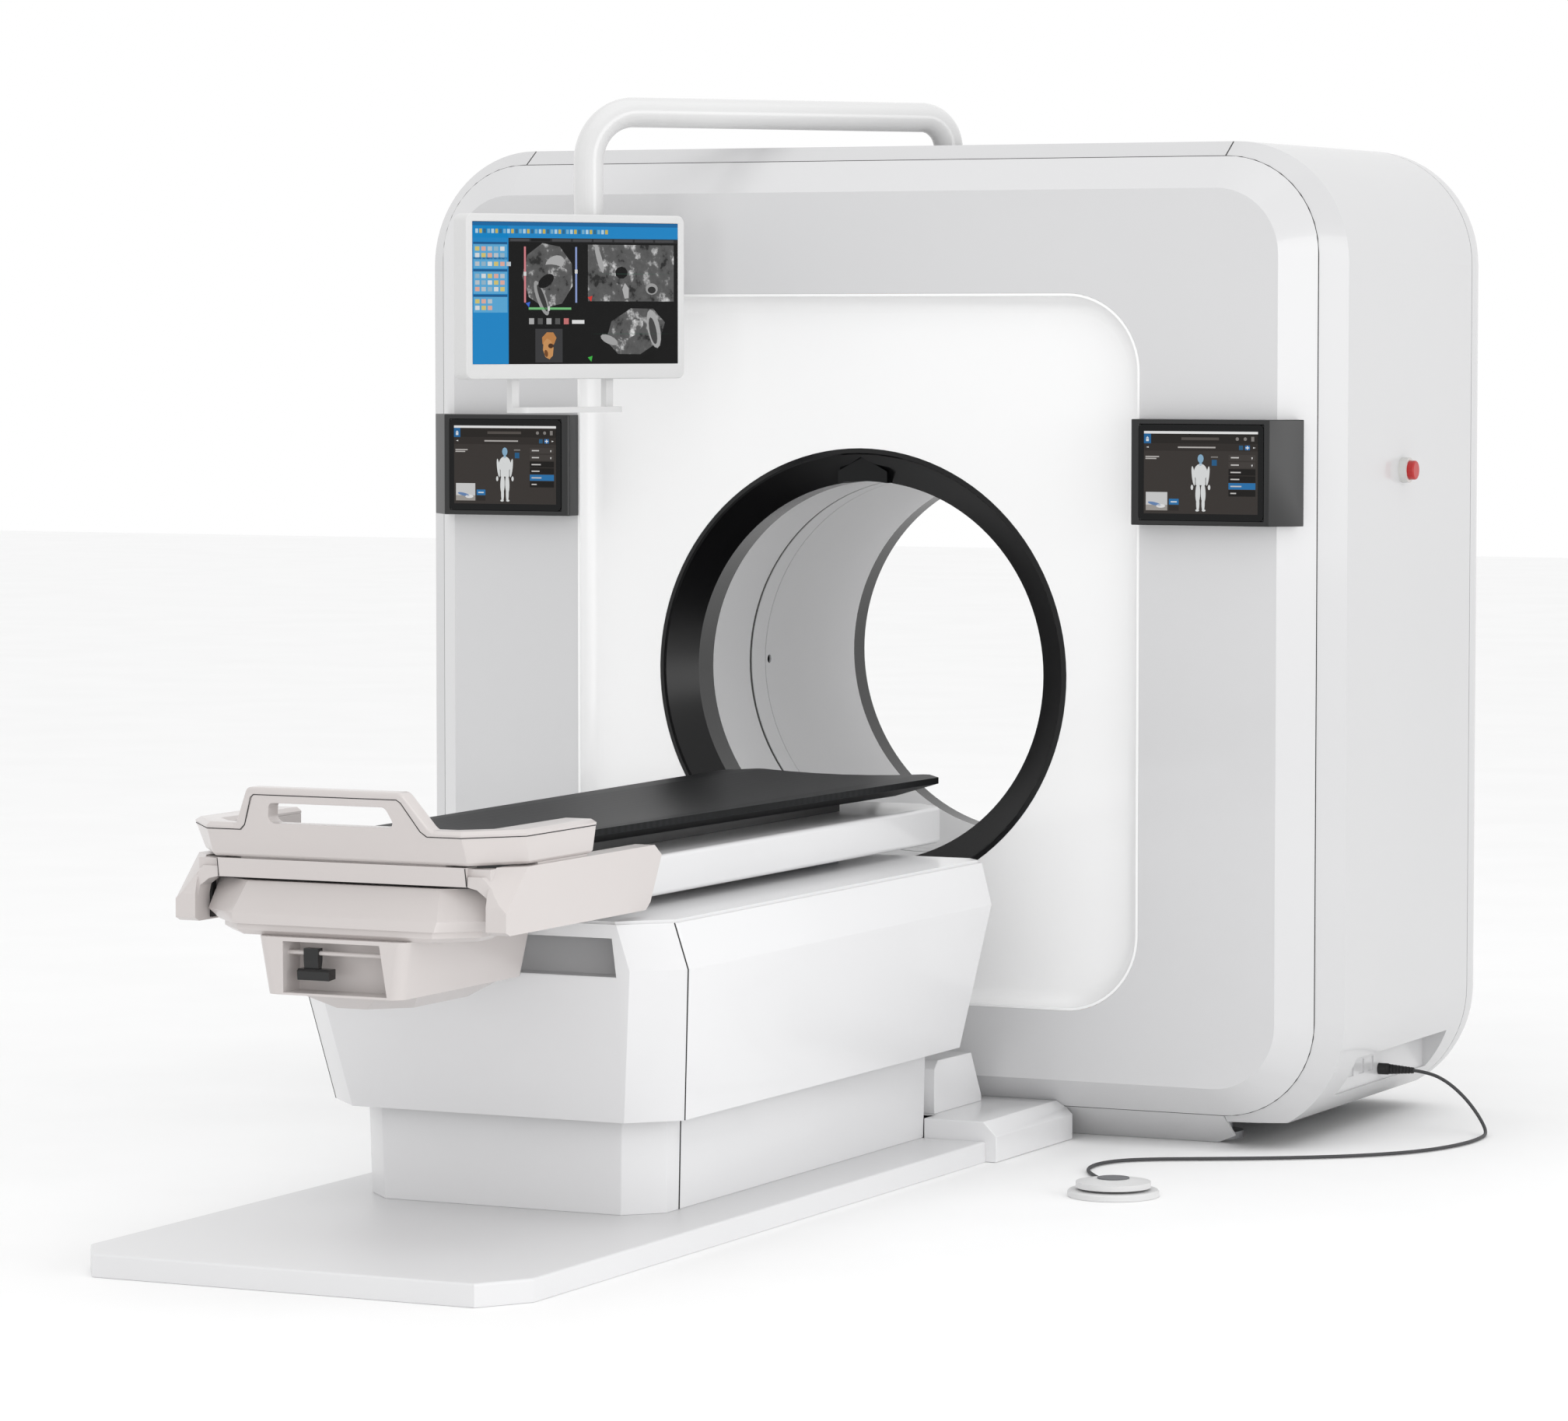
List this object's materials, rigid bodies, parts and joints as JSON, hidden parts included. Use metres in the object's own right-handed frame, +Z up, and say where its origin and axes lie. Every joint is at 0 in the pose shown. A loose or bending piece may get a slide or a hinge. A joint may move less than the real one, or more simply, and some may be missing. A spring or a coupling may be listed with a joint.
{
  "type": "ct scanner",
  "caption": "Ring-shaped medical scanner with a sliding patient couch, twin touchscreens, overhead monitor arm and a corded foot switch.",
  "frame": {"origin": "on the floor, below the middle of the box round the scanner and its couch", "axes": "+Y runs along the couch from its foot end into the gantry, +Z is up"},
  "size_m": [2.2367, 3.174, 2.073],
  "materials": {
    "cover_white": "gloss",
    "cover_grey": "gloss",
    "ring_black": "gloss",
    "liner_grey": "satin",
    "window_dark": "gloss",
    "screen_glass": "gloss",
    "black_plastic": "satin",
    "stop_red": "gloss",
    "clear_collar": "gloss",
    "frame_steel": "satin",
    "bearing_steel": "brushed",
    "tube_alloy": "satin",
    "coil_copper": "satin",
    "plate_paint": "satin",
    "couch_white": "satin",
    "module_white": "satin",
    "table_carbon": "satin",
    "arm_paint": "gloss",
    "cord_rubber": "matte",
    "pad_grey": "matte",
    "spring_steel": "bright"
  },
  "bodies": {
    "base": {"arm_bush": "black_plastic", "base_frame": "frame_steel", "bearing_outer_ring": "bearing_steel", "bore_front_ring": "ring_black", "bore_liners": "liner_grey", "bore_rear_ring": "ring_black", "bore_sensor_window": "window_dark", "coil_ring": "coil_copper", "column_outer": "frame_steel", "connector_panel": "cover_white", "dish_panel": "cover_white", "emergency_stop_collars": "clear_collar", "floor_plate": "plate_paint", "foot_cord": "cord_rubber", "foot_switch_base": "cover_grey", "foot_switch_spring": "spring_steel", "front_cover": "cover_white", "left_side_cover": "cover_grey", "levelling_feet": "bearing_steel", "link_cover": "couch_white", "link_tower": "couch_white", "rear_cover": "cover_grey", "right_side_cover": "cover_grey", "scan_window_ring": "window_dark", "skirt_panels": "couch_white", "stator_frame": "frame_steel", "strain_relief": "cord_rubber", "top_cover": "cover_grey", "touchscreen_glasses": "screen_glass", "touchscreen_housings": "black_plastic"},
    "rotor": {"bearing_inner_ring": "bearing_steel", "rotor_drum": "tube_alloy", "xray_tube_unit": "tube_alloy", "detector": "tube_alloy", "rotor_side_units": "frame_steel", "slip_ring": "coil_copper"},
    "lift": {"column_inner": "frame_steel", "couch_chassis": "frame_steel", "housing_front": "couch_white", "housing_left": "couch_white", "housing_right": "couch_white", "housing_top": "couch_white", "beam": "couch_white", "hood": "module_white", "lower_box": "module_white"},
    "slide": {"table_top": "table_carbon", "table_carrier": "black_plastic", "end_frame": "module_white", "guard": "module_white", "guard_cap": "module_white"},
    "lever": {"release_lever": "black_plastic"},
    "right_button": {"right_stop_button": "stop_red"},
    "left_button": {"left_stop_button": "stop_red"},
    "arm": {"arm_tube": "arm_paint"},
    "yoke": {"monitor_yoke": "black_plastic"},
    "monitor": {"monitor_housing": "cover_white", "monitor_screen": "screen_glass", "monitor_handle": "cover_white"},
    "tread": {"foot_switch_tread": "cover_white", "foot_switch_pad": "pad_grey"}
  },
  "joints": [
    {"name": "rotor_spin", "type": "hinge", "parent": "base", "child": "rotor", "pos_m": [0, 1.256, 0.92], "axis": [0, 1, 0], "continuous": true},
    {"name": "couch_lift", "type": "slide", "parent": "base", "child": "lift", "axis": [0, 0, 1], "range_m": [-0.12, 0.06]},
    {"name": "table_slide", "type": "slide", "parent": "lift", "child": "slide", "axis": [0, 1, 0], "range_m": [0, 1.2]},
    {"name": "release_lever_turn", "type": "hinge", "parent": "lift", "child": "lever", "pos_m": [0, -1.39, 0.55], "axis": [1, 0, 0], "range_deg": [0, 22], "stiffness_Nm_per_rad": 0.8, "springref_deg": -11.46},
    {"name": "right_stop_press", "type": "slide", "parent": "base", "child": "right_button", "axis": [-1, 0, 0], "range_m": [0, 0.006]},
    {"name": "left_stop_press", "type": "slide", "parent": "base", "child": "left_button", "axis": [1, 0, 0], "range_m": [0, 0.006]},
    {"name": "arm_swivel", "type": "hinge", "parent": "base", "child": "arm", "pos_m": [0, 1.134, 1.95], "axis": [0, 0, 1], "range_deg": [0, 70]},
    {"name": "monitor_swivel", "type": "hinge", "parent": "arm", "child": "yoke", "pos_m": [-0.49792, 0.48626, 1.67], "axis": [0, 0, 1], "range_deg": [-62, 0]},
    {"name": "monitor_tilt", "type": "hinge", "parent": "yoke", "child": "monitor", "pos_m": [-0.45527, 0.46425, 1.672], "axis": [0.4587, 0.8886, 0], "range_deg": [-8, 8]},
    {"name": "tread_press", "type": "slide", "parent": "base", "child": "tread", "axis": [0, 0, -1], "range_m": [0, 0.004], "stiffness_N_per_m": 3000, "springref_m": -0.004, "deforming": ["foot_switch_spring"]}
  ]
}
